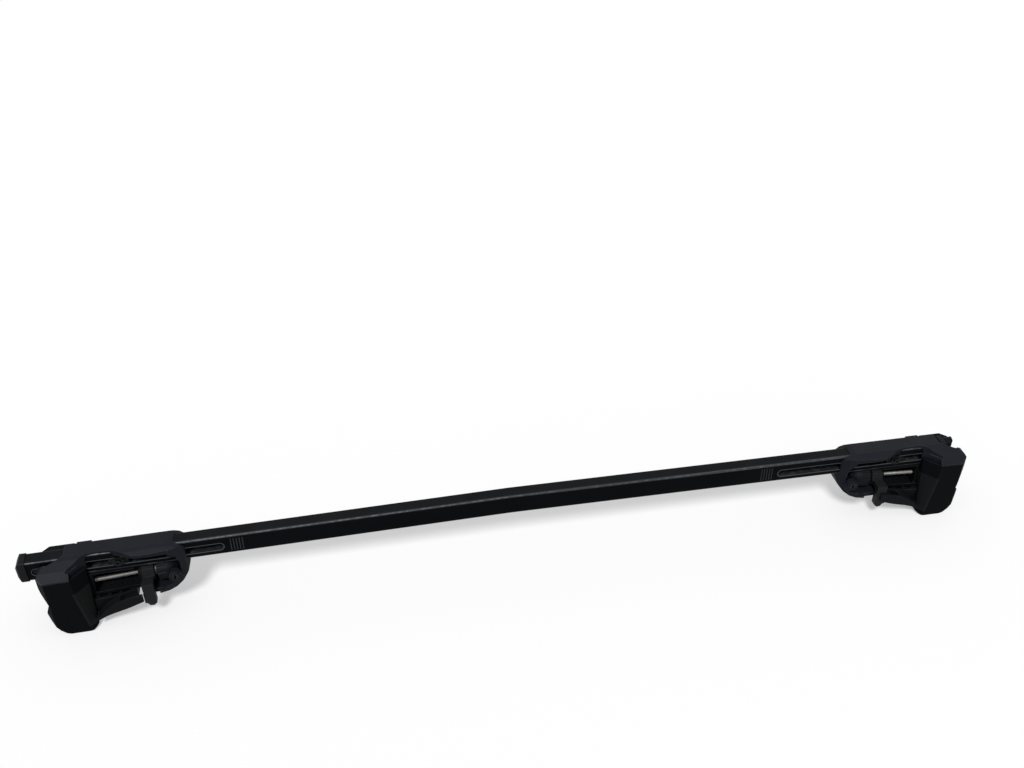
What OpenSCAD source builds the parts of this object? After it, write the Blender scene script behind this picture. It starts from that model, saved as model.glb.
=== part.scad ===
// Roof crossbar: a steel load bar with two clamp feet for raised roof rails.
// +X runs along the bar, the front side is -Y, and the feet stand on Z = 0.
// Each foot is drawn in its own frame: x runs inboard from its outermost point,
// y to the back, and z up from its sole.

/* [Bar] */
// Width of the bar, front to back
bar_w = 20; // [18:1:24]
// Height of the bar
bar_h = 30; // [26:1:34]
// Wall thickness of the tube
bar_wall = 1.5; // [1:0.25:2.5]
// Outside radius of the tube's corners
bar_corner = 3.5; // [2:0.5:5]
// Length of the tube between the end caps' seams
tube_len = 1211; // [1100:1:1400]
// Length of each end cap outside the tube
cap_len = 12; // [8:1:20]
// How far the middle of the bar, where it is slightly bent, stands above its ends
bow_rise = 7.8; // [3:0.1:12]

/* [Slot] */
// Height of the slot in the front wall
slot_h = 11; // [8:1:12]
// Height of the slot's middle above the underside
slot_z = 13.5; // [11:0.5:16]
// Distance of the slot's inner end from the middle of the bar
slot_inner = 368; // [340:1:400]
// Distance of the slot's outer end from the middle of the bar
slot_outer = 600; // [580:1:603]

/* [Feet] */
// Distance of the left foot's outermost point from the middle
left_reach = 593; // [580:1:620]
// Distance of the right foot's outermost point from the middle
right_reach = 636; // [600:1:636]
// Height of the bar's underside above the sole
clearance_h = 75; // [70:1:85]
// Width of the outer jaw, front to back
jaw_w = 70; // [60:1:80]
// Height of the housing's top above the bar
cover_rise = 2.5; // [2:0.25:4]
// Gap between the housing and the bar
bar_gap = 0.4; // [0.3:0.1:0.8]

/* [Clamp] */
// Diameter of the spindle
spindle_d = 6; // [5:0.5:8]
// Upward tilt of the spindle towards the knob
spindle_tilt = 3.6; // [2:0.2:5]
// Diameter of the knob's drum
knob_d = 31; // [24:1:31]
// Length of the knob's drum
knob_len = 27; // [22:1:28]
// Width across the flats of the inner jaw's boss
boss_af = 25.5; // [20:0.5:25.5]
// How far the left clamp is screwed in
left_turned_in = 0; // [0:1:22]
// How far the right clamp is screwed in
right_turned_in = 9; // [0:1:22]

/* [Hidden] */

half_len = tube_len / 2;
bow_angle = asin(bow_rise / half_len);
// The lowest point of the right foot's sole, measured along the bar
sole_x = right_reach - 23;
middle_z = clearance_h * cos(bow_angle) + sole_x * sin(bow_angle);
// The part stands with its whole length centred on the origin
centre_shift = (half_len + cap_len - right_reach) / 2;

bar_top = clearance_h + bar_h;
cover_top = bar_top + cover_rise;
jaw_y = jaw_w / 2;
slot_x = 96;
spindle_x = 150;
spindle_z = clearance_h - knob_d / 2 - 0.3;
boss_x0 = 114;
boss_x1 = 135;
knob_x0 = 138.5;
knob_x1 = knob_x0 + knob_len;
clear = 0.3;
bore_gap = 0.05;
cap_lip = 1.2;
jaw_top = 88;
throat = 34;
far = 300;
anchor_x = 44.2;
anchor_d = 12;
anchor_len = 24;
travel = 22;
lock_x = 161;
lock_y = -25;
lock_z = 62.5;
lock_d = 9;
lock_sleeve_t = 1.4;
lock_depth = 9;
frame_screw_xy = [[22, -15], [22, 15]];
frame_screw_z = 60;

// Frames

// Each half of the bar falls away from the bend; x runs along its underside
module at_right_half() {
    translate([0, 0, middle_z])
        rotate([0, bow_angle, 0])
            children();
}

module mirrored(side) {
    translate([centre_shift, 0, 0])
        mirror([side > 0 ? 0 : 1, 0, 0])
            children();
}

module at_end(side) {
    mirrored(side)
        at_right_half()
            children();
}

module in_foot(side) {
    reach = side > 0 ? right_reach : left_reach;
    at_end(side)
        translate([reach, 0, -clearance_h])
            mirror([1, 0, 0])
                children();
}

// The pieces that travel along the spindle, set where each clamp is screwed to
module in_clamp(side) {
    t = side > 0 ? right_turned_in : left_turned_in;
    in_foot(side)
        translate([-t * cos(spindle_tilt), 0, -t * sin(spindle_tilt)])
            children();
}

// The spindle's own frame: x along the spindle towards the knob, turned about x = spindle_x
module on_spindle() {
    translate([spindle_x, 0, spindle_z])
        rotate([0, -spindle_tilt, 0])
            translate([-spindle_x, 0, 0])
                children();
}

// Basic shapes

// A profile in x and z, extruded along y from y0 to y1
module slab_y(points, y0, y1) {
    translate([0, y1, 0])
        rotate([90, 0, 0])
            linear_extrude(y1 - y0)
                polygon(points);
}

// A profile in y and z, extruded along x from x0 to x1
module slab_x(points, x0, x1) {
    translate([x0, 0, 0])
        rotate([90, 0, 90])
            linear_extrude(x1 - x0)
                polygon(points);
}

// A profile in x and y, extruded along z from z0 to z1
module slab_z(points, z0, z1) {
    translate([0, 0, z0])
        linear_extrude(z1 - z0)
            polygon(points);
}

// A round bar along x
module rod_x(x0, x1, d, sides = 64) {
    translate([x0, 0, 0])
        rotate([0, 90, 0])
            cylinder(h = x1 - x0, d = d, $fn = sides);
}

// A round bar along y
module rod_y(x, z, y0, y1, d, sides = 64) {
    translate([x, y1, z])
        rotate([90, 0, 0])
            cylinder(h = y1 - y0, d = d, $fn = sides);
}

module box(x0, x1, y0, y1, z0, z1) {
    translate([x0, y0, z0])
        cube([x1 - x0, y1 - y0, z1 - z0]);
}

// A rounded rectangle that stands on y = 0, inset on every side
module bar_outline(inset = 0) {
    r = max(bar_corner - inset, 0.5);
    w = bar_w / 2 - inset - r;
    for (x = [-w, w], y = [inset + r, bar_h - inset - r])
        translate([x, y])
            circle(r = r, $fn = 32);
    translate([-w - r, inset + r])
        square([2 * (w + r), bar_h - 2 * (inset + r)]);
    translate([-w, inset])
        square([2 * w, bar_h - 2 * inset]);
}

module bar_section() {
    difference() {
        bar_outline();
        bar_outline(bar_wall);
    }
}

// A stadium-shaped prism along y for the slots
module slot_prism(x0, x1, z, h, y0, y1) {
    rod_y(x0 + h / 2, z, y0, y1, h);
    rod_y(x1 - h / 2, z, y0, y1, h);
    box(x0 + h / 2, x1 - h / 2, y0, y1, z - h / 2, z + h / 2);
}

// The bar and its caps

// One half, cut square at the bend
module bar_half() {
    intersection() {
        at_right_half()
            difference() {
                translate([-5, 0, 0])
                    rotate([90, 0, 90])
                        linear_extrude(half_len + 5)
                            bar_section();
                slot_prism(slot_inner, slot_outer, slot_z, slot_h,
                    -bar_w, -bar_w / 2 + bar_wall + 1);
            }
        box(0, 2 * half_len, -far, far, 0, far);
    }
}

module bar_tube() {
    color("#26282b")
    translate([centre_shift, 0, 0]) {
        bar_half();
        mirror([1, 0, 0]) bar_half();
    }
}

// A cap with bevelled shoulders and a hollow plug inside the tube
module end_cap(side) {
    bevel = 5;
    plug = 14;
    plug_wall = 2.2;
    end_x = half_len + cap_len;
    color("#17181a")
    at_end(side) {
        intersection() {
            translate([half_len, 0, 0])
                rotate([90, 0, 90])
                    linear_extrude(cap_len)
                        grown_bar_outline(cap_lip);
            slab_y([
                [half_len, -far], [half_len, far], [end_x - bevel, bar_h + cap_lip],
                [end_x, bar_h - 7], [end_x, 8], [end_x - bevel, -cap_lip]
            ], -bar_w, bar_w);
            slab_z([
                [half_len, -far], [half_len, far], [end_x - 3, bar_w / 2 + cap_lip],
                [end_x, bar_w / 2 - 2], [end_x, 2 - bar_w / 2],
                [end_x - 3, -bar_w / 2 - cap_lip]
            ], -far, far);
        }
        difference() {
            translate([half_len - plug, 0, 0])
                rotate([90, 0, 90])
                    linear_extrude(plug)
                        bar_outline(bar_wall + 0.1);
            translate([half_len - plug - 1, 0, 0])
                rotate([90, 0, 90])
                    linear_extrude(plug - 2)
                        bar_outline(bar_wall + plug_wall);
        }
    }
}

// The housing

// Front view of the housing: the top plate starts inboard of the shoulder
housing_side = [
    [0, jaw_top + clear], [0, 92], [4, 99], [12, 104.5], [26, cover_top], [158, cover_top],
    [172, cover_top - 4], [180, cover_top - 11], [182, 86], [181, 70], [177, 58],
    [170, 49], [160, 41], [150, 37], [138, 35], [112, 29], [57.3, 27], [57.3, jaw_top + clear]
];

// End view: the front slopes to the shoulder, the back drops and flares lower down
housing_end = [
    [-jaw_y, 20], [-jaw_y, 89.5], [-jaw_y + 8, 99], [-15, cover_top - 1.5],
    [-11, cover_top], [12, cover_top], [14, cover_top - 2], [14, 96],
    [jaw_y - 3, 80], [jaw_y, 76], [jaw_y, 20]
];

// Top view, front edge first
housing_plan = [
    [0, -27], [8, -jaw_y], [41, -jaw_y], [46, -31], [60, -26.5], [150, -21],
    [158, -20], [168, -18], [176, -13], [181, -6], [181, 8], [176, 18],
    [162, 27], [150, jaw_y - 2], [130, jaw_y], [8, jaw_y], [0, 27]
];

// The window's upper rim seen from above: it curves back to the bar's front side
window_rim = [
    [36.5, -27.5], [42, -22.5], [48, -18], [54, -12.8], [60, -9.8], [67, -8.6],
    [88, -9.3], [96, -11.6], [104, -15], [110, -18], [116, -20.2], [124, -21],
    [134, -20.9], [158, -19.4], [158, -60], [36.5, -60]
];

// Under the rim the opening reaches back to the bar's front side
window_recess = [
    [40, -27], [52, -14.5], [58, -bar_w / 2 - bar_gap], [154, -bar_w / 2 - bar_gap],
    [162, -13], [166, -60], [40, -60]
];

// The window seen from the front, with the round end that shows the knob
window_front = [
    [40, 20], [40, 98.5], [60, 100], [100, 99], [158, 97], [165.5, 90],
    [169, 80], [169, 66], [148, 66], [134, 48], [134, 20]
];

// The window's outboard side, seen from above, runs on from the jaw's slanted cheek
window_cheek = [
    [40.5, -36], [57.3, -17.5], [57.3, -12], [176, -12], [176, -60], [40.5, -60]
];

knob_window_x = 148;
knob_window_z = 66;
knob_window_r = 21;

module housing_block() {
    intersection() {
        slab_y(housing_side, -far, far);
        slab_x(housing_end, -10, far);
        slab_z(housing_plan, 0, far);
    }
}

// The hollow inside, between the front flank, the back wall and the nose
module housing_hollow() {
    wall = 3;
    intersection() {
        slab_x([
            [-24, 20], [-24, clearance_h + 1], [jaw_y - wall, clearance_h + 1],
            [jaw_y - wall, 20]
        ], 57.3, 178);
        slab_y([
            [57, 20], [57, 101], [176, 101], [177, 86], [176, 72],
            [172, 60], [165, 51], [156, 43.5], [148, 39.5], [138, 38], [136.5, 20]
        ], -24, jaw_y - wall);
        slab_z([
            [57, -60], [57, jaw_y - wall], [128, jaw_y - wall], [148, jaw_y - wall - 2],
            [159, 24], [172, 16], [177, 7], [177, -5], [172, -11.5], [165, -15],
            [148, -17.5], [148, -60]
        ], 0, far);
    }
}

// The bar runs through a close passage, with a wider throat where an end cap can sit
module bar_passage() {
    translate([throat - 1, 0, clearance_h])
        rotate([90, 0, 90])
            linear_extrude(far)
                grown_bar_outline(bar_gap);
    translate([-1, 0, clearance_h])
        rotate([90, 0, 90])
            linear_extrude(throat + 1)
                grown_bar_outline(cap_lip + bar_gap);
}

// The top is open over the bar's end, cut back along a slanted edge
module shoulder_cut() {
    slab_z([
        [-1, -bar_w / 2 - 1.6], [14, -18.5], [27, -13.2], [33.5, -6], [34.5, 40], [-1, 40]
    ], 98, far);
}

module housing(side) {
    color("#1f2126")
    in_foot(side)
    difference() {
        union() {
            difference() {
                housing_block();
                bar_passage();
                housing_hollow();
                shoulder_cut();
                slab_z(window_rim, 96.5, far);
                intersection() {
                    slab_z(window_recess, 80, far);
                    slab_y(window_front, -60, 0);
                }
                intersection() {
                    slab_y(window_front, -60, -12);
                    slab_z(window_cheek, 0, 99);
                }
                // The bar's lower front edge shows over the mechanism
                intersection() {
                    slab_y(window_front, -60, 0);
                    box(57.3, 169, -24, -bar_w / 2 - bar_gap, 70, 84);
                }
                rod_y(knob_window_x, knob_window_z, -60, -12, 2 * knob_window_r, 96);
            }
            // Floor tongue under the mechanism, between the jaw's legs
            slab_y([[117, 36.5], [138, 36], [150, 38], [150, 41], [136.5, 42], [117, 41.5]], -19.5, 19.5);
            // Back wall's lap beside the outer jaw's slanted cheek
            slab_y([[42, jaw_top + clear + 1], [49.8, 27], [60, 27], [60, jaw_top + clear + 1]],
                jaw_y - 3, jaw_y);
            // Lug for the lock, with an arm down to the window's rim
            lock_place() rod_y(0, 0, 0, lock_depth, lock_d + 2 * lock_sleeve_t + 3.2);
            lock_place() rotate([0, 45, 0]) box(0, 11.5, 2, lock_depth + 1, -5.5, 5.5);
        }
        lock_place() rod_y(0, 0, -10, lock_depth - 1.5, lock_d + 2 * lock_sleeve_t);
        lock_place() rod_y(0, 0, 0, 40, lock_d - 2);
        frame_screw_places() cylinder(h = 30, d = 3.3, $fn = 32);
    }
}

// The bar's outline grown by a gap, with the same corner centres
module grown_bar_outline(gap) {
    r = bar_corner + gap;
    w = bar_w / 2 - bar_corner;
    for (x = [-w, w], y = [bar_corner, bar_h - bar_corner])
        translate([x, y])
            circle(r = r, $fn = 32);
    translate([-w - r, bar_corner])
        square([2 * (w + r), bar_h - 2 * bar_corner]);
    translate([-w, -gap])
        square([2 * w, bar_h + 2 * gap]);
}

// The outer jaw

// Front view, with the small spur on the outboard side
jaw_side = [
    [0, jaw_top], [0, 78], [1, 71], [4, 62], [8, 52], [9, 44], [7.5, 39.5], [1.5, 36.8],
    [1, 33.5], [3.5, 25], [7.5, 16], [12, 8], [18, 2], [23, 0], [46, 0], [54, 2],
    [57, 4.5], [57, jaw_top]
];

// Top view of the outboard side
jaw_plan = [
    [0, -27], [8, -jaw_y], [80, -jaw_y], [80, jaw_y], [8, jaw_y], [0, 27]
];

// Top view of the slanted cheeks on the inboard side
cheek_plan = [
    [-30, -jaw_y], [38, -jaw_y], [58, -13], [58, 13], [38, jaw_y], [-30, jaw_y]
];
cheek_lean = -8;
pad_t = 3;
pad_z0 = 8;
pad_z1 = 66;

// The jaw's full shape; the cheeks lean inboard as they go down
module jaw_solid(inset = 0) {
    intersection() {
        slab_y(jaw_side, -far, far);
        slab_z(jaw_plan, 0, jaw_top);
        translate([-inset, 0, jaw_top])
            rotate([0, cheek_lean, 0])
                slab_z(cheek_plan, -120, 20);
        translate([-inset, 0, 0])
            box(-20, 57, -jaw_y, jaw_y, 0, jaw_top);
    }
}

module outer_jaw(side) {
    color("#191a1d")
    in_foot(side)
    difference() {
        jaw_solid();
        difference() {
            box(20, 80, -far, far, pad_z0, pad_z1);
            jaw_solid(pad_t);
        }
        bar_passage();
        // Cored out between the cheeks
        slab_y([[8, 70], [14, 56], [33, 56], [33, 70]], -jaw_y + 8, jaw_y - 8);
        // Cross bore for the spindle's anchor, and the hole that the spindle comes through
        on_spindle() rod_y(anchor_x, 0, -anchor_len / 2 - 0.1, anchor_len / 2 + 0.1, anchor_d + 0.2);
        on_spindle() rod_x(anchor_x - travel - 5, 80, spindle_d + 1.5);
        frame_screw_places() cylinder(h = 30, d = 3.3, $fn = 32);
    }
}

// Rubber facing on the jaw's inner side, with cross grooves
module jaw_pad(side) {
    color("#202124")
    in_foot(side)
    difference() {
        intersection() {
            jaw_solid();
            box(20, 80, -far, far, pad_z0, pad_z1);
        }
        jaw_solid(pad_t);
        on_spindle() rod_x(40, 80, spindle_d + 4);
        for (i = [0 : 5])
            box(56, 80, -far, far, 12 + 6.5 * i, 14 + 6.5 * i);
    }
}

// The guide frame under the bar

// Lines of the frame's lower edge and its ledges, which rise inboard with the spindle
function frame_low(x) = 38 + (x - 57) * 0.065;
function ledge_top(x) = 43 + (x - 57) * 0.068;

module guide_frame(side) {
    top = clearance_h - bar_gap - 1;
    x0 = 57.6;
    x1 = 112;
    wall = 2.5;
    plate_t = 1.4;
    x_end = 116;
    color("#2b2d30")
    in_foot(side)
    difference() {
        union() {
            box(x0, x1, -11, 11, top - 1.6, top);
            // Ledges over the rail seat, joined to the end plate
            for (y = [-frame_half, frame_half - wall])
                slab_y([
                    [x0, frame_low(x0)], [x0, ledge_top(x0)], [x_end, ledge_top(x_end)],
                    [x_end, frame_low(x_end)]
                ], y, y + wall);
            slab_y([
                [x0, frame_low(x0)], [x0, frame_low(x0) + plate_t],
                [x_end, frame_low(x_end) + plate_t], [x_end, frame_low(x_end)]
            ], -frame_half, frame_half);
            box(x0, x0 + 3, -11, 11, 38, top);
        }
        on_spindle() rod_x(40, 70, spindle_d + 4);
        for (x = [78, 92, 106])
            translate([x, 0, 30])
                cylinder(h = 20, d = 5, $fn = 32);
    }
}

// The arched saddle that lies on the car's rail
saddle_low = [
    [50, 8.3], [58, 12.5], [64, 15.6], [70, 18.4], [78, 21.2], [86, 23.4], [94, 25.6], [102, 28.2],
    [111, 31.6], [120, 35]
];
saddle_top = [[118, 46], [97, 42.3], [82, 36.3], [69, 26.5], [60, 17.5], [58, 17.5]];
frame_half = 13;
saddle_x0 = 58;
saddle_x1 = 111;
saddle_far = 120;
cheek_x1 = 118;
saddle_mid = 19.8;
cheek_in = 29.8;
cheek_out = 32;
web_end = 90;
pad_depth = 4;
pad_groove = 8;

// Everything under the arch, shifted up or down
module under_arch(dz, half) {
    slab_y(concat([for (p = saddle_low) p + [0, dz]], [[saddle_far, -5], [50, -5]]), -half, half);
}

// Open slots that let the inner jaw's legs pass
module leg_slots() {
    for (s = [-1, 1])
        box(web_end, far, min(s * saddle_mid, s * cheek_in), max(s * saddle_mid, s * cheek_in), -5, 70);
}

module rail_seat(side) {
    color("#222327")
    in_foot(side)
    difference() {
        union() {
            slab_y(concat([[saddle_x0, 0], [cheek_x1, 0]], saddle_top), -cheek_out, cheek_out);
            slab_y([
                [saddle_x0, 0], [saddle_x1, 0],
                [saddle_x1, frame_low(saddle_x1) - clear], [saddle_x0, frame_low(saddle_x0) - clear]
            ], -saddle_mid, saddle_mid);
        }
        under_arch(0, far);
        under_arch(pad_depth, cheek_in);
        leg_slots();
        // Only the outer cheeks reach on beside the inner jaw's legs
        box(saddle_x1, far, -cheek_in, cheek_in, -5, 70);
        // Notch round the guide frame
        slab_y([
            [saddle_x0 - 1, frame_low(saddle_x0) - clear], [saddle_x1 + 1, frame_low(saddle_x1) - clear],
            [saddle_x1 + 1, 70], [saddle_x0 - 1, 70]
        ], -frame_half - clear, frame_half + clear);
        // Cored out from above, with a rib down the middle
        for (x = [64, 78, 92])
            for (y = [-16, 2])
                box(x, x + 10, y, y + 14, 33, 60);
    }
}

// Rubber sole of the saddle, with grooves across it
module seat_pad(side) {
    color("#26272a")
    in_foot(side)
    difference() {
        box(saddle_x0, saddle_x1, -cheek_in, cheek_in, 0, 60);
        under_arch(0, far);
        slab_y(concat([for (p = saddle_low) p + [0, pad_depth - bore_gap]],
            [[saddle_far, 70], [50, 70]]), -far, far);
        leg_slots();
        for (i = [0 : 4])
            box(67 + pad_groove * i, 68.6 + pad_groove * i, -far, far, 0, 19 + 2.15 * i);
    }
}

// Rubber strip that the bar's underside rests on
module bar_strip(side) {
    color("#2a2b2e")
    in_foot(side)
        box(62, 110, -9, 9, clearance_h - bar_gap - 1, clearance_h - 0.1);
}

// The spindle and what holds it

module spindle(side) {
    color("#c9ccd0")
    in_clamp(side)
    on_spindle() rod_x(anchor_x - 4, knob_x1 - 4.2, spindle_d);
}

module spindle_anchor(side) {
    color("#b4b7bb")
    in_foot(side)
    on_spindle()
    difference() {
        rod_y(anchor_x, 0, -anchor_len / 2, anchor_len / 2, anchor_d);
        rod_x(anchor_x - 20, anchor_x + 20, spindle_d + 2 * bore_gap);
    }
}

// Screw, washer and nut that hold the foot in the bar's slot

module slot_nut(side) {
    y_in = -bar_w / 2 + bar_wall;
    color("#a4a7ab")
    in_foot(side)
    difference() {
        union() {
            box(slot_x - 12, slot_x + 12, y_in + 0.3, y_in + 5,
                clearance_h + 5, clearance_h + slot_z + 10);
            box(slot_x - 8, slot_x + 8, -bar_w / 2 + 0.3, y_in + 0.4,
                clearance_h + slot_z - slot_h / 2 + 0.4, clearance_h + slot_z + slot_h / 2 - 0.4);
        }
        rod_y(slot_x, clearance_h + slot_z, -20, 20, 5.1);
    }
}

module slot_screw(side) {
    color("#c4c7cb")
    in_foot(side)
    difference() {
        union() {
            rod_y(slot_x, clearance_h + slot_z, -bar_w / 2 - 1, -bar_w / 2 + bar_wall + 5.5, 5);
            rod_y(slot_x, clearance_h + slot_z, -bar_w / 2 - 2, -bar_w / 2 - 0.4, 14);
            rod_y(slot_x, clearance_h + slot_z, -bar_w / 2 - 4.6, -bar_w / 2 - 1.9, 8.5);
        }
        rod_y(slot_x, clearance_h + slot_z, -bar_w, -bar_w / 2 - 2.8, 4, 6);
    }
}

// Screws that hold the jaw and the frame up into the housing

module frame_screw_places() {
    for (p = frame_screw_xy)
        translate([p[0], p[1], frame_screw_z + 9])
            children();
}

module frame_screws(side) {
    color("#8f9296")
    in_foot(side)
    for (p = frame_screw_xy)
        translate([p[0], p[1], frame_screw_z]) {
            translate([0, 0, 6])
                cylinder(h = 3.7, d = 8, $fn = 48);
            translate([0, 0, 9])
                cylinder(h = 24, d = 3.2, $fn = 32);
        }
}

// The lock, in a lug at the round end of the window

module lock_place() {
    translate([lock_x, lock_y, lock_z])
        children();
}

module lock_sleeve(side) {
    color("#202226")
    in_foot(side)
    lock_place()
    difference() {
        union() {
            rod_y(0, 0, 0, lock_depth - 1.6, lock_d + 2 * lock_sleeve_t - 0.1);
            rod_y(0, 0, -1, 0, lock_d + 2 * lock_sleeve_t + 2);
        }
        rod_y(0, 0, -3, lock_depth, lock_d + 0.16);
    }
}

module lock_barrel(side) {
    color("#9a9da1")
    in_foot(side)
    lock_place()
    difference() {
        rod_y(0, 0, -0.6, lock_depth - 1.7, lock_d);
        box(-0.8, 0.8, -3, 5, -3.6, 3.6);
        box(-1.8, 1.8, -3, 2, -1.1, 1.1);
    }
}

// The inner jaw: a bevelled octagonal boss, a bridge and two legs beside the seat

module inner_jaw(side) {
    leg_in = 20.5;
    leg_out = 29;
    color("#2a2c31")
    in_clamp(side)
    difference() {
        union() {
            on_spindle()
            intersection() {
                rod_x(boss_x0, boss_x1, boss_af / cos(22.5), 8);
                union() {
                    translate([boss_x0, 0, 0])
                        rotate([0, 90, 0])
                            cylinder(h = 8, r1 = 6, r2 = boss_af / 2 + 2, $fn = 64);
                    rod_x(boss_x0 + 7.9, boss_x1, boss_af + 4);
                }
            }
            slab_y([[119, 50.5], [133, 51], [133, 58.5], [119, 58]], -leg_out, leg_out);
            for (s = [-1, 1])
                slab_y([
                    [121, 28], [124, 23.5], [129, 23], [133, 27], [133, 58.5],
                    [119, 58], [119, 48], [121, 45]
                ], min(s * leg_in, s * leg_out), max(s * leg_in, s * leg_out));
        }
        on_spindle() rod_x(boss_x0 - 5, boss_x1 + 5, spindle_d + 2 * bore_gap);
    }
}

module inner_pad(side) {
    color("#35373a")
    in_clamp(side)
    for (s = [-1, 1])
        difference() {
            box(118.5, 121, min(s * 20.5, s * 29), max(s * 20.5, s * 29), 28, 44);
            for (i = [0 : 3])
                box(118, 119.5, -30, 30, 29.5 + 4 * i, 31 + 4 * i);
        }
}

// The knob and its small parts

module thrust_washer(side) {
    color("#c4c7cb")
    in_clamp(side)
    on_spindle()
    difference() {
        rod_x(boss_x1 + clear, knob_x0 - clear, 16);
        rod_x(boss_x1 - 1, knob_x0 + 1, spindle_d + 2 * bore_gap + 0.02);
    }
}

// Half outline of the drum, turned about the spindle
drum_outline = [
    [0, 0], [0, knob_d / 2 - 1.5], [1.2, knob_d / 2], [knob_len - 14, knob_d / 2],
    [knob_len - 10.5, knob_d / 2 - 0.7], [knob_len - 7, knob_d / 2 - 2.2],
    [knob_len - 4, knob_d / 2 - 4.4], [knob_len - 1.6, knob_d / 2 - 6.9],
    [knob_len, knob_d / 2 - 9], [knob_len, 0]
];

module knob(side) {
    grips = 10;
    color("#26282c")
    in_clamp(side)
    on_spindle()
    difference() {
        translate([knob_x0, 0, 0])
            rotate([0, 90, 0])
                rotate_extrude($fn = 72)
                    polygon([for (p = drum_outline) [p[1], p[0]]]);
        rod_x(knob_x0 - 1, knob_x0 + 12, 12);
        rod_x(knob_x0 + 10, knob_x1 - 4, spindle_d + 1.4);
        rod_x(knob_x1 - 2.6, knob_x1 + 1, 8.2);
        for (i = [0 : grips - 1])
            rotate([i * 360 / grips, 0, 0])
                translate([0, 0, knob_d / 2 + 1.4])
                    rod_x(knob_x0 - 1, knob_x0 + 12, 4.4, 32);
    }
}

module knob_insert(side) {
    color("#b98f3f")
    in_clamp(side)
    on_spindle()
    difference() {
        rod_x(knob_x0 + 0.2, knob_x0 + 11.9, 11.9);
        rod_x(knob_x0 - 1, knob_x0 + 13, spindle_d + 2 * bore_gap);
    }
}

module knob_cap(side) {
    color("#303338")
    in_clamp(side)
    on_spindle()
    difference() {
        rod_x(knob_x1 - 2.5, knob_x1 - 0.3, 8);
        box(knob_x1 - 1.6, knob_x1 + 1, -2.8, 2.8, -1.1, 1.1);
    }
}

bar_tube();
end_cap(-1);  // left_end_cap
end_cap(1);  // right_end_cap
housing(-1);  // left_housing
housing(1);  // right_housing
outer_jaw(-1);  // left_outer_jaw
outer_jaw(1);  // right_outer_jaw
jaw_pad(-1);  // left_jaw_pad
jaw_pad(1);  // right_jaw_pad
guide_frame(-1);  // left_guide_frame
guide_frame(1);  // right_guide_frame
rail_seat(-1);  // left_rail_seat
rail_seat(1);  // right_rail_seat
seat_pad(-1);  // left_seat_pad
seat_pad(1);  // right_seat_pad
bar_strip(-1);  // left_bar_strip
bar_strip(1);  // right_bar_strip
spindle(-1);  // left_spindle
spindle(1);  // right_spindle
spindle_anchor(-1);  // left_spindle_anchor
spindle_anchor(1);  // right_spindle_anchor
slot_nut(-1);  // left_slot_nut
slot_nut(1);  // right_slot_nut
slot_screw(-1);  // left_slot_screw
slot_screw(1);  // right_slot_screw
frame_screws(-1);  // left_frame_screws
frame_screws(1);  // right_frame_screws
lock_sleeve(-1);  // left_lock_sleeve
lock_sleeve(1);  // right_lock_sleeve
lock_barrel(-1);  // left_lock_barrel
lock_barrel(1);  // right_lock_barrel
inner_jaw(-1);  // left_inner_jaw
inner_jaw(1);  // right_inner_jaw
inner_pad(-1);  // left_inner_pad
inner_pad(1);  // right_inner_pad
thrust_washer(-1);  // left_thrust_washer
thrust_washer(1);  // right_thrust_washer
knob(-1);  // left_knob
knob(1);  // right_knob
knob_insert(-1);  // left_knob_insert
knob_insert(1);  // right_knob_insert
knob_cap(-1);  // left_knob_cap
knob_cap(1);  // right_knob_cap
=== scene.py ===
import math

import bpy
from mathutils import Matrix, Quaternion, Vector


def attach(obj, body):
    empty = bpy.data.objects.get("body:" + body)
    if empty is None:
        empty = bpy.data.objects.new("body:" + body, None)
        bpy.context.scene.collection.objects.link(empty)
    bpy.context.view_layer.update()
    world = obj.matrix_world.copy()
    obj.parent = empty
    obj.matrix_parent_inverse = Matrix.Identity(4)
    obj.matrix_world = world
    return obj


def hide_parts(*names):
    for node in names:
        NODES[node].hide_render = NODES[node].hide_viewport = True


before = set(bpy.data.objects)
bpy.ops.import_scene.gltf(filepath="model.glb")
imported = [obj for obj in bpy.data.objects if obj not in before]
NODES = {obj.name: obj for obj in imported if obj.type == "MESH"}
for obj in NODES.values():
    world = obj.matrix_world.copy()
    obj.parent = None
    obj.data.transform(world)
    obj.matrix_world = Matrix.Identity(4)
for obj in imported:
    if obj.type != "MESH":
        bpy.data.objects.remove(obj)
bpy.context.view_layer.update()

SIDES = ("left", "right")

# The bar, in metres: where its middle lies along x and up, and its size. Each straight half
# falls 7.8 mm over its 605.5 mm, an angle in radians as all the others
SHIFT = -0.00925
MIDDLE_Z = 0.08289
BOW = math.asin(7.8 / 605.5)
BAR_HEIGHT = 0.030
BAR_HALF_WIDTH = 0.010

# The slot in each half's front face, with round ends
SLOT_Z = 0.0135
SLOT_MID = 0.484
SLOT_HALF = 0.1105
SLOT_R = 0.0055
SLOT_RIM = 0.0012

# The tick lines beside each slot: where they start and end, and half a line's share of a step
TICKS_ALONG = (0.3425, 0.361)
TICKS_UP = (0.005, 0.0245)
TICK_STEP = 0.0037
TICK_HALF_SHARE = 0.13
TICK_DEPTH = 0.0002

# How far in the coating reaches, from the front and back and from the top and bottom
COAT_SIDES = 0.0004
COAT_TOP = 0.0007

# Where the painted highlight on the long corners sets in and is full, across and up from the bar's
# axis, where it fades towards the feet, and where it grows towards the right
CORNER_ACROSS = (0.0066, 0.0086)
CORNER_UP = (0.0116, 0.0136)
HIGHLIGHT_TO_FEET = (0.455, 0.485)
HIGHLIGHT_TO_RIGHT = (-0.05, 0.3)
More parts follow.
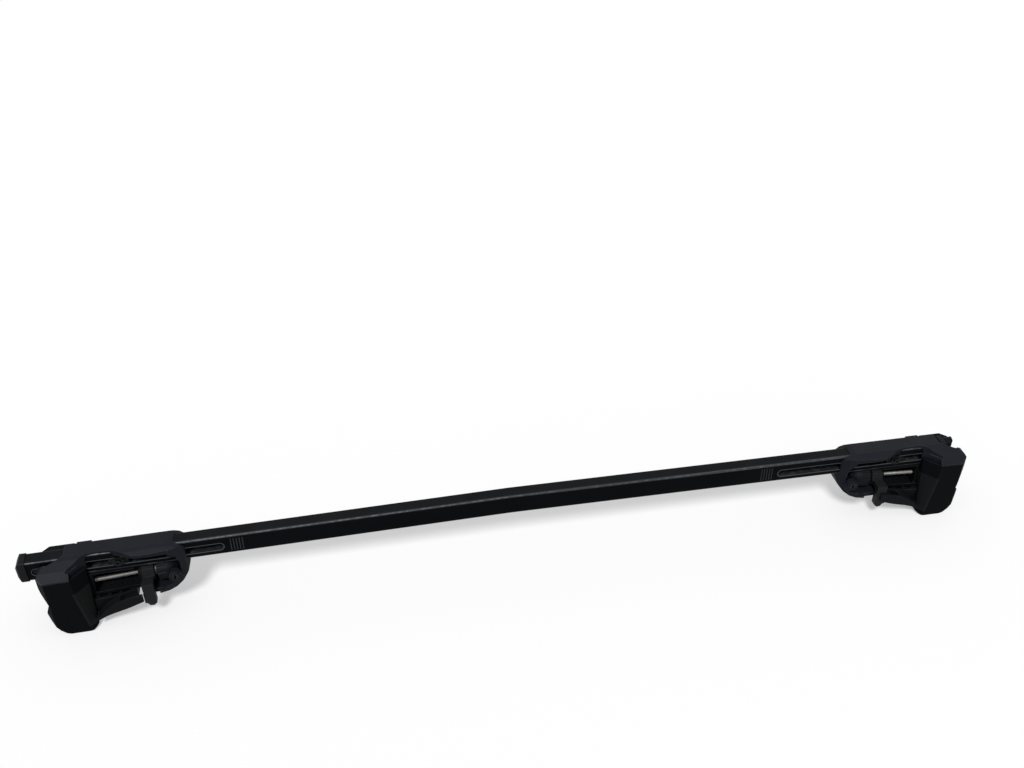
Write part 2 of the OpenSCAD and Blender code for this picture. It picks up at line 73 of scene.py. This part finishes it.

# The bar's colours: two shades of coat, its dust with a painted sheen on the faces that look up,
# specks, a painted highlight on its long corners, a pale slot rim that is partly worn and partly
# painted sheen, the print, and two shades of zinc
COAT = ((0.001, 0.0014, 0.0021), (0.0017, 0.0022, 0.0031))
COAT_DUST_AND_SHEEN = (0.0098, 0.0112, 0.0126)
COAT_SPECKS = (0.03, 0.032, 0.035)
COAT_CORNER_HIGHLIGHT = (0.066, 0.071, 0.078)
SLOT_RIM_WEAR_AND_SHEEN = (0.09, 0.095, 0.1)
TICK_COLOR = (0.034, 0.035, 0.037)
ZINC = ((0.064, 0.069, 0.076), (0.032, 0.0345, 0.0385))

# The feet and their spindles
REACH = {"left": 0.593, "right": 0.636}
CLEARANCE = 0.075
TURNED_IN = {"left": 0.0, "right": 0.009}
TILT = math.radians(3.6)
SPINDLE_X = 0.150
SPINDLE_Z = 0.0592
SPINDLE_R = 0.003
SPINDLE_ENDS = (0.0402, 0.1613)

# The spindle's rolled thread and its tip, and how finely both are cut along and round
THREAD_END = 0.1360
PITCH = 0.001
THREAD_DEPTH = 0.0005
TIP_SET_BACK = 0.0006
TIP_CHAMFER = 0.0006
PER_TURN = 4
AROUND = 28
RUN_OUT_STEPS = 6
SMOOTH_BELOW = math.radians(50)

# Floor, light and camera
FLOOR_HALF = 12.0
FLOOR_COLOR = (0.94, 0.94, 0.94)
FLOOR_SHARE = 0.385
SKY_LEVEL = 0.42
SUN_TRAVEL = (0.21, 0.61, -0.765)
SUN_STRENGTH = 2.65
SUN_SPREAD = math.radians(12)
CAMERA_AT = (-0.2191, -1.1137, 1.1031)
CAMERA_YAW = math.radians(10.83)
CAMERA_PITCH = math.radians(35.81)
CAMERA_ROLL = math.radians(-0.11)
FOCAL_PX = 1150
IMAGE_WIDTH_PX = 1024
SENSOR_MM = 36.0
CAMERA_NEAR = 0.01


# ---------------------------------------------------------------- places

def half_point(side, x, y, z):
    """A point given along the bar's half, in the part's frame."""
    sign = 1 if side == "right" else -1
    px = x * math.cos(BOW) + z * math.sin(BOW)
    pz = MIDDLE_Z - x * math.sin(BOW) + z * math.cos(BOW)
    return Vector((SHIFT + sign * px, y, pz))


def foot_point(side, s, y, z):
    """A point given in a foot's frame: s runs inboard, z up from the sole."""
    return half_point(side, REACH[side] - s, y, z - CLEARANCE)


def spindle_point(side, s, y, z):
    """A point given along the spindle, with y and z across it, where the clamp is set."""
    a = s - SPINDLE_X - TURNED_IN[side]
    return foot_point(
        side,
        SPINDLE_X + a * math.cos(TILT) - z * math.sin(TILT),
        y,
        SPINDLE_Z + a * math.sin(TILT) + z * math.cos(TILT),
    )


def put_in_scene(name, data):
    obj = bpy.data.objects.new(name, data)
    bpy.context.scene.collection.objects.link(obj)
    return obj


# ---------------------------------------------------------------- materials

# Places of the sockets that mix two colours
FACTOR, COLOR_A, COLOR_B, MIXED = 0, 6, 7, 2


class Shader:
    """One material, built up from its masks and colours."""

    def __init__(self, name):
        self.mat = bpy.data.materials.new(name)
        self.mat.use_nodes = True
        self.tree = self.mat.node_tree
        self.bsdf = self.tree.nodes["Principled BSDF"]
        self.coord = self.node("ShaderNodeTexCoord").outputs["Object"]

    def node(self, kind, **values):
        n = self.tree.nodes.new(kind)
        for key, value in values.items():
            setattr(n, key, value)
        return n

    def put(self, socket, value):
        if isinstance(value, bpy.types.NodeSocket):
            self.tree.links.new(value, socket)
        else:
            socket.default_value = value

    def calc(self, op, a, b=0.0, clamp=False):
        n = self.node("ShaderNodeMath", operation=op, use_clamp=clamp)
        self.put(n.inputs[0], a)
        self.put(n.inputs[1], b)
        return n.outputs[0]

    def times(self, *factors):
        result = factors[0]
        for factor in factors[1:]:
            result = self.calc("MULTIPLY", result, factor)
        return result

    def absolute(self, value):
        return self.calc("ABSOLUTE", value)

    def axes(self):
        n = self.node("ShaderNodeSeparateXYZ")
        self.put(n.inputs[0], self.coord)
        return n.outputs

    def stretched(self, scale):
        n = self.node("ShaderNodeVectorMath", operation="MULTIPLY")
        self.put(n.inputs[0], self.coord)
        n.inputs[1].default_value = scale
        return n.outputs[0]

    def noise(self, scale, detail=3.0, rough=0.55, vector=None):
        n = self.node("ShaderNodeTexNoise")
        self.put(n.inputs["Vector"], vector or self.coord)
        n.inputs["Scale"].default_value = scale
        n.inputs["Detail"].default_value = detail
        n.inputs["Roughness"].default_value = rough
        return n.outputs["Fac"]

    def grain(self, scale):
        n = self.node("ShaderNodeTexVoronoi")
        self.put(n.inputs["Vector"], self.coord)
        n.inputs["Scale"].default_value = scale
        return n.outputs["Distance"]

    def remap(self, value, lo, hi, out_lo, out_hi):
        """Takes lo to out_lo and hi to out_hi, with a smooth step between."""
        n = self.node("ShaderNodeMapRange", interpolation_type="SMOOTHSTEP")
        self.put(n.inputs["Value"], value)
        ends = (("From Min", lo), ("From Max", hi), ("To Min", out_lo), ("To Max", out_hi))
        for key, v in ends:
            n.inputs[key].default_value = v
        return n.outputs["Result"]

    def mix(self, fac, a, b):
        n = self.node("ShaderNodeMix", data_type="RGBA")
        self.put(n.inputs[FACTOR], fac)
        self.put(n.inputs[COLOR_A], (*a, 1) if isinstance(a, tuple) else a)
        self.put(n.inputs[COLOR_B], (*b, 1) if isinstance(b, tuple) else b)
        return n.outputs[MIXED]

    def faces_up_dust_and_sheen(self, amount):
        """Mask, up to amount, of what faces up, broken up by clouds: settled dust with a painted
        sheen of the light from above.
        """
        n = self.node("ShaderNodeSeparateXYZ")
        self.put(n.inputs[0], self.node("ShaderNodeTexCoord").outputs["Normal"])
        up = self.remap(n.outputs[2], 0.2, 0.85, 0.0, amount)
        return self.times(up, self.remap(self.noise(22.0, 4.0), 0.3, 0.65, 0.7, 1.0))

    def rounded(self, radius):
        """Normal with the edges rounded over, and a mask that is 1 on the edges."""
        bevel = self.node("ShaderNodeBevel", samples=6)
        bevel.inputs["Radius"].default_value = radius
        flat = self.node("ShaderNodeNewGeometry").outputs["Normal"]
        dot = self.node("ShaderNodeVectorMath", operation="DOT_PRODUCT")
        self.put(dot.inputs[0], bevel.outputs[0])
        self.put(dot.inputs[1], flat)
        edge = self.remap(dot.outputs["Value"], 0.86, 0.995, 1.0, 0.0)
        return bevel.outputs[0], edge

    def bump(self, height, strength, distance, normal=None):
        n = self.node("ShaderNodeBump")
        n.inputs["Strength"].default_value = strength
        n.inputs["Distance"].default_value = distance
        self.put(n.inputs["Height"], height)
        if normal is not None:
            self.put(n.inputs["Normal"], normal)
        return n.outputs[0]

    def finish(self, color, rough, normal, metallic=0.0, specular=0.5):
        self.put(self.bsdf.inputs["Base Color"], color)
        self.put(self.bsdf.inputs["Roughness"], rough)
        self.put(self.bsdf.inputs["Metallic"], metallic)
        self.bsdf.inputs["Specular IOR Level"].default_value = specular
        self.put(self.bsdf.inputs["Normal"], normal)
        return self.mat


def moulded(name, color, edge_wear_and_highlight, rough,
            edge=0.0011, grain=1500.0, depth=0.00004, specular=0.08, dust=0.006):
    """Moulded plastic: fine grain, faint flow marks, settled dust with a painted sheen on what
    faces up, and lighter edges, partly rubbed and partly a painted highlight.
    """
    s = Shader(name)
    normal, rim = s.rounded(edge)
    cloud = s.noise(14.0, 4.0)
    speck = s.noise(900.0, 2.0)
    # Lighter edges, partly rubbed and partly a painted highlight
    rub_and_highlight = s.calc("MULTIPLY", rim, s.remap(s.noise(60.0, 4.0), 0.42, 0.7, 0.15, 1.0), clamp=True)
    clouded = tuple(c * 1.6 + 0.001 for c in color)
    # Settled dust together with a painted sheen of the light from above, on what faces up
    dust_and_sheen_color = (color[0] + dust, color[1] + dust * 1.04, color[2] + dust * 1.2)
    base = s.mix(s.remap(cloud, 0.35, 0.7, 0.0, 0.35), color, clouded)
    base = s.mix(s.faces_up_dust_and_sheen(1.0), base, dust_and_sheen_color)
    base = s.mix(rub_and_highlight, base, edge_wear_and_highlight)
    shade = s.calc("ADD", s.remap(cloud, 0.3, 0.7, rough - 0.05, rough + 0.07),
                   s.times(speck, 0.05))
    height = s.calc("ADD", s.grain(grain), s.times(s.noise(grain * 0.6, 2.0), 0.8))
    return s.finish(base, shade, s.bump(height, 0.45, depth, normal), specular=specular)


def rubber(name, color):
    """Rubber: dull, with a fine matt grain and paler dust in patches."""
    s = Shader(name)
    normal, rim = s.rounded(0.0005)
    dust = s.remap(s.noise(45.0, 5.0, 0.6), 0.48, 0.75, 0.0, 0.5)
    base = s.mix(dust, color, tuple(c * 1.8 + 0.003 for c in color))
    base = s.mix(s.times(rim, 0.3), base, tuple(c * 2.5 + 0.006 for c in color))
    height = s.noise(2600.0, 3.0, 0.7)
    shade = s.remap(dust, 0.0, 0.5, 0.74, 0.9)
    return s.finish(base, shade, s.bump(height, 0.5, 0.00005, normal), specular=0.1)


def metal(name, color, rough, stain=0.35, brushed=(900.0, 900.0, 120.0)):
    """Plated metal: faint grain in one direction, slightly stained."""
    s = Shader(name)
    normal, _ = s.rounded(0.0003)
    blotch = s.remap(s.noise(90.0, 4.0, 0.6), 0.4, 0.75, 0.0, stain)
    base = s.mix(blotch, color, tuple(c * 0.6 for c in color))
    lines = s.noise(1.0, 3.0, 0.6, s.stretched(brushed))
    shade = s.calc("ADD", s.remap(lines, 0.3, 0.7, rough - 0.06, rough + 0.08),
                   s.times(blotch, 0.25))
    return s.finish(base, shade, s.bump(lines, 0.15, 0.00004, normal), metallic=1.0)


def on_front(s, y, depth):
    """Mask of what lies less than depth behind the bar's front face."""
    return s.calc("LESS_THAN", y, depth - BAR_HALF_WIDTH)


def tick_lines(s, along, up, y):
    """Mask of the five plain lines on the front face, beside each slot."""
    step = s.calc("FRACT", s.calc("DIVIDE", s.calc("SUBTRACT", along, TICKS_ALONG[0]), TICK_STEP))
    lines = s.calc("LESS_THAN", s.absolute(s.calc("SUBTRACT", step, 0.5)), TICK_HALF_SHARE)
    for value, (low, high) in ((along, TICKS_ALONG), (up, TICKS_UP)):
        lines = s.times(lines, s.calc("GREATER_THAN", value, low), s.calc("LESS_THAN", value, high))
    lines = s.times(lines, on_front(s, y, TICK_DEPTH))
    return s.times(lines, s.remap(s.noise(500.0, 3.0), 0.35, 0.6, 0.55, 1.0))


def slot_rim_wear_and_sheen(s, along, up, y):
    """Mask of the pale rim on the front face, round each slot, partly worn and partly a painted
    sheen.
    """
    across = s.calc("SUBTRACT", up, SLOT_Z)
    beyond = s.calc("SUBTRACT", s.absolute(s.calc("SUBTRACT", along, SLOT_MID)), SLOT_HALF)
    beyond = s.calc("MAXIMUM", beyond, 0.0)
    reach = s.calc("SQRT", s.calc("ADD", s.times(across, across), s.times(beyond, beyond)))
    rim = s.remap(reach, SLOT_R, SLOT_R + SLOT_RIM, 0.8, 0.0)
    return s.times(rim, on_front(s, y, COAT_SIDES))


def painted_corner_highlight(s, x, along, up, y):
    """Mask of the painted highlight on the bar's long corners, brightest on the right half and
    faintest at the feet.
    """
    from_middle = s.absolute(s.calc("SUBTRACT", up, BAR_HEIGHT / 2))
    corner = s.times(s.remap(s.absolute(y), *CORNER_ACROSS, 0.0, 1.0),
                     s.remap(from_middle, *CORNER_UP, 0.0, 1.0))
    rub_and_highlight = s.times(corner, s.remap(s.noise(7.0, 4.0), 0.36, 0.64, 0.62, 1.0))
    rub_and_highlight = s.times(rub_and_highlight, s.remap(along, *HIGHLIGHT_TO_FEET, 1.0, 0.3))
    return s.times(rub_and_highlight, s.remap(x, *HIGHLIGHT_TO_RIGHT, 0.55, 1.0))


def coated_bar():
    """Black coating on a galvanised tube, with bare zinc inside; its top faces carry dust with a
    painted sheen, its long corners a painted highlight, and its slot rims a pale band, partly worn
    and partly painted sheen.
    """
    s = Shader("bar_coating")
    x, y, z = s.axes()
    along = s.absolute(s.calc("SUBTRACT", x, SHIFT))
    rise = s.calc("SUBTRACT", z, MIDDLE_Z)
    up = s.calc("ADD", s.times(along, math.sin(BOW)), s.times(rise, math.cos(BOW)))
    inner = s.calc("LESS_THAN", s.absolute(y), BAR_HALF_WIDTH - COAT_SIDES)
    inner = s.times(inner, s.calc("GREATER_THAN", up, COAT_TOP),
                    s.calc("LESS_THAN", up, BAR_HEIGHT - COAT_TOP))
    ticks = tick_lines(s, along, up, y)
    rim = slot_rim_wear_and_sheen(s, along, up, y)
    rub_and_highlight = painted_corner_highlight(s, x, along, up, y)

    cloud = s.noise(9.0, 4.0)
    speck = s.remap(s.noise(420.0, 3.0, 0.7), 0.62, 0.74, 0.0, 0.5)
    coat = s.mix(s.remap(cloud, 0.35, 0.7, 0.0, 1.0), *COAT)
    # Dust together with a painted sheen of the light from above, on the faces that look up
    coat = s.mix(s.faces_up_dust_and_sheen(0.9), coat, COAT_DUST_AND_SHEEN)
    coat = s.mix(s.times(speck, 0.2), coat, COAT_SPECKS)
    # Painted highlight along the long corners, where the light catches them
    coat = s.mix(rub_and_highlight, coat, COAT_CORNER_HIGHLIGHT)
    # Pale rim round each slot, partly worn and partly a painted sheen
    coat = s.mix(rim, coat, SLOT_RIM_WEAR_AND_SHEEN)
    coat = s.mix(ticks, coat, TICK_COLOR)
    zinc = s.mix(s.remap(s.grain(140.0), 0.1, 0.7, 0.0, 1.0), *ZINC)
    base = s.mix(inner, coat, zinc)
    peel = s.noise(260.0, 2.0)
    shade = s.remap(s.calc("ADD", s.times(cloud, 0.6), s.times(peel, 0.4)), 0.3, 0.7, 0.4, 0.5)
    return s.finish(base, shade, s.bump(peel, 0.12, 0.00008),
                    metallic=s.times(inner, 0.5), specular=0.02)


# Each moulded dust amount tints what faces up: settled dust together with a painted sheen of the
# light from above
MATERIALS = {
    "bar_tube": coated_bar(),
    "end_cap": moulded("cap_plastic", (0.0032, 0.0036, 0.0046), (0.025, 0.027, 0.031), 0.5,
                       dust=0.004),
    "housing": moulded("housing_plastic", (0.0036, 0.0042, 0.0070), (0.042, 0.046, 0.054), 0.46,
                       dust=0.0062),
    "outer_jaw": moulded("jaw_plastic", (0.0015, 0.0018, 0.0025), (0.022, 0.025, 0.029), 0.52,
                         specular=0.022, dust=0.005),
    "jaw_pad": rubber("pad_rubber", (0.0022, 0.0024, 0.0028)),
    "guide_frame": moulded("frame_coating", (0.0022, 0.0024, 0.0028), (0.022, 0.024, 0.026), 0.45,
                           grain=700.0, specular=0.05, dust=0.003),
    "rail_seat": moulded("saddle_plastic", (0.0022, 0.0025, 0.0032), (0.025, 0.027, 0.03), 0.5,
                         specular=0.05, dust=0.004),
    "seat_pad": rubber("sole_rubber", (0.0035, 0.0037, 0.004)),
    "bar_strip": rubber("strip_rubber", (0.0035, 0.0035, 0.0038)),
    "spindle": metal("spindle_zinc", (0.25, 0.247, 0.238), 0.56, brushed=(140.0, 900.0, 900.0)),
    "spindle_anchor": metal("anchor_zinc", (0.2, 0.205, 0.21), 0.42),
    "slot_nut": metal("nut_black_zinc", (0.014, 0.015, 0.016), 0.5, 0.6),
    "slot_screw": metal("screw_black_zinc", (0.016, 0.017, 0.018), 0.5, 0.5),
    "frame_screws": metal("small_screw_black_zinc", (0.035, 0.036, 0.038), 0.45, 0.6),
    "lock_sleeve": moulded("sleeve_plastic", (0.003, 0.0034, 0.0044), (0.025, 0.028, 0.032), 0.42,
                           edge=0.0006, dust=0.003),
    "lock_barrel": metal("lock_dark_nickel", (0.022, 0.023, 0.026), 0.45),
    "inner_jaw": moulded("inner_jaw_plastic", (0.006, 0.0065, 0.0076), (0.036, 0.038, 0.042), 0.48),
    "inner_pad": rubber("inner_pad_rubber", (0.006, 0.006, 0.0064)),
    "thrust_washer": metal("washer_zinc", (0.07, 0.072, 0.075), 0.5),
    "knob": moulded("knob_plastic", (0.0036, 0.0039, 0.0058), (0.03, 0.033, 0.04), 0.48,
                    specular=0.055, dust=0.0045),
    "knob_insert": metal("insert_brass", (0.36, 0.25, 0.09), 0.38),
    "knob_cap": moulded("cap_button_plastic", (0.007, 0.0075, 0.0092), (0.036, 0.039, 0.044), 0.45,
                        edge=0.0005),
}


def slot_name(node):
    """The piece's name without its side."""
    for side in SIDES:
        node = node.replace(side + "_", "")
    return node


for name, obj in NODES.items():
    material = MATERIALS[slot_name(name)]
    for slot in obj.material_slots:
        slot.material = material
    if not obj.material_slots:
        obj.data.materials.append(material)


# ---------------------------------------------------------------- threaded spindles

def thread_rings():
    """Rings along the spindle, each a list of (place along it, radius) round it."""
    count = int((THREAD_END - SPINDLE_ENDS[0]) / PITCH) * PER_TURN
    rings = []
    for i in range(count + 1):
        s = SPINDLE_ENDS[0] + TIP_SET_BACK + i * PITCH / PER_TURN
        fade = min(1.0, i / RUN_OUT_STEPS, (count - i) / RUN_OUT_STEPS)
        chamfer = TIP_CHAMFER if i == 0 else 0.0
        ring = []
        for j in range(AROUND):
            phase = (i / PER_TURN - j / AROUND) % 1.0
            groove = 1 - abs(2 * phase - 1)
            ring.append((s, SPINDLE_R - fade * THREAD_DEPTH * groove - chamfer))
        rings.append(ring)
    rings.append([(SPINDLE_ENDS[1], SPINDLE_R)] * AROUND)
    return rings


def threaded_spindle(side):
    """The spindle with its rolled thread, from the anchor to inside the knob."""
    rings = thread_rings()
    verts, faces = [], []
    for ring in rings:
        for j, (s, r) in enumerate(ring):
            a = 2 * math.pi * j / AROUND
            verts.append(spindle_point(side, s, r * math.cos(a), r * math.sin(a)))
    for i in range(len(rings) - 1):
        for j in range(AROUND):
            k = (j + 1) % AROUND
            here, after = i * AROUND, (i + 1) * AROUND
            faces.append((here + j, here + k, after + k, after + j))
    last = (len(rings) - 1) * AROUND
    faces.append(tuple(range(AROUND)))
    faces.append(tuple(last + j for j in reversed(range(AROUND))))
    mesh = bpy.data.meshes.new(side + "_threaded_spindle")
    mesh.from_pydata(verts, [], faces)
    mesh.update()
    obj = put_in_scene(mesh.name, mesh)
    if side == "right":
        mesh.flip_normals()
    mesh.materials.append(MATERIALS["spindle"])
    for poly in mesh.polygons:
        poly.use_smooth = True
    mesh.set_sharp_from_angle(angle=SMOOTH_BELOW)
    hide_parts(side + "_spindle")
    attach(obj, side + "_knob")


for each in SIDES:
    threaded_spindle(each)


# ---------------------------------------------------------------- floor, light and camera

def seen_directly(tree):
    """1 for the camera, for mirrors and through glass, and 0 for light that spreads."""
    path = tree.nodes.new("ShaderNodeLightPath")
    seen = path.outputs["Is Camera Ray"]
    for ray in ("Is Glossy Ray", "Is Transmission Ray"):
        either = tree.nodes.new("ShaderNodeMath")
        either.operation = "MAXIMUM"
        tree.links.new(seen, either.inputs[0])
        tree.links.new(path.outputs[ray], either.inputs[1])
        seen = either.outputs[0]
    return seen


def white_to_camera(name, color, share):
    """A pale surface that the camera and mirrors see nearly white, and that takes shadows."""
    mat = bpy.data.materials.new(name)
    mat.use_nodes = True
    tree = mat.node_tree
    bsdf = tree.nodes["Principled BSDF"]
    bsdf.inputs["Base Color"].default_value = (*color, 1)
    bsdf.inputs["Roughness"].default_value = 1.0
    bsdf.inputs["Specular IOR Level"].default_value = 0.0
    part = tree.nodes.new("ShaderNodeMath")
    part.operation = "MULTIPLY"
    tree.links.new(seen_directly(tree), part.inputs[0])
    part.inputs[1].default_value = share
    glow = tree.nodes.new("ShaderNodeEmission")
    glow.inputs["Strength"].default_value = 1.0
    mix = tree.nodes.new("ShaderNodeMixShader")
    tree.links.new(part.outputs[0], mix.inputs[0])
    tree.links.new(bsdf.outputs[0], mix.inputs[1])
    tree.links.new(glow.outputs[0], mix.inputs[2])
    tree.links.new(mix.outputs[0], tree.nodes["Material Output"].inputs["Surface"])
    return mat


def floor_plane():
    e = FLOOR_HALF
    mesh = bpy.data.meshes.new("floor")
    mesh.from_pydata([(-e, -e, 0), (e, -e, 0), (e, e, 0), (-e, e, 0)], [], [(0, 1, 2, 3)])
    obj = put_in_scene("floor", mesh)
    mesh.materials.append(white_to_camera("floor_paper", FLOOR_COLOR, FLOOR_SHARE))


def world_light():
    """Even light from all round, which the camera and mirrors see as white."""
    world = bpy.data.worlds.new("studio")
    bpy.context.scene.world = world
    world.use_nodes = True
    tree = world.node_tree
    back = tree.nodes["Background"]
    back.inputs["Color"].default_value = (1, 1, 1, 1)
    level = tree.nodes.new("ShaderNodeMapRange")
    tree.links.new(seen_directly(tree), level.inputs["Value"])
    level.inputs["To Min"].default_value = SKY_LEVEL
    level.inputs["To Max"].default_value = 1.0
    tree.links.new(level.outputs["Result"], back.inputs["Strength"])


def sun_light():
    data = bpy.data.lights.new("key", "SUN")
    data.energy = SUN_STRENGTH
    data.angle = SUN_SPREAD
    obj = put_in_scene("key", data)
    obj.rotation_mode = "QUATERNION"
    obj.rotation_quaternion = Vector(SUN_TRAVEL).to_track_quat("-Z", "Y")


def camera():
    data = bpy.data.cameras.new("camera")
    data.sensor_width = SENSOR_MM
    data.lens = FOCAL_PX / IMAGE_WIDTH_PX * SENSOR_MM
    data.clip_start = CAMERA_NEAR
    obj = put_in_scene("camera", data)
    level = math.cos(CAMERA_PITCH)
    ahead = Vector((math.sin(CAMERA_YAW) * level, math.cos(CAMERA_YAW) * level,
                    -math.sin(CAMERA_PITCH)))
    obj.location = CAMERA_AT
    obj.rotation_mode = "QUATERNION"
    roll = Quaternion((0, 0, 1), CAMERA_ROLL)
    obj.rotation_quaternion = ahead.to_track_quat("-Z", "Y") @ roll
    bpy.context.scene.camera = obj


floor_plane()
world_light()
sun_light()
camera()
bpy.context.scene.view_settings.view_transform = "Standard"
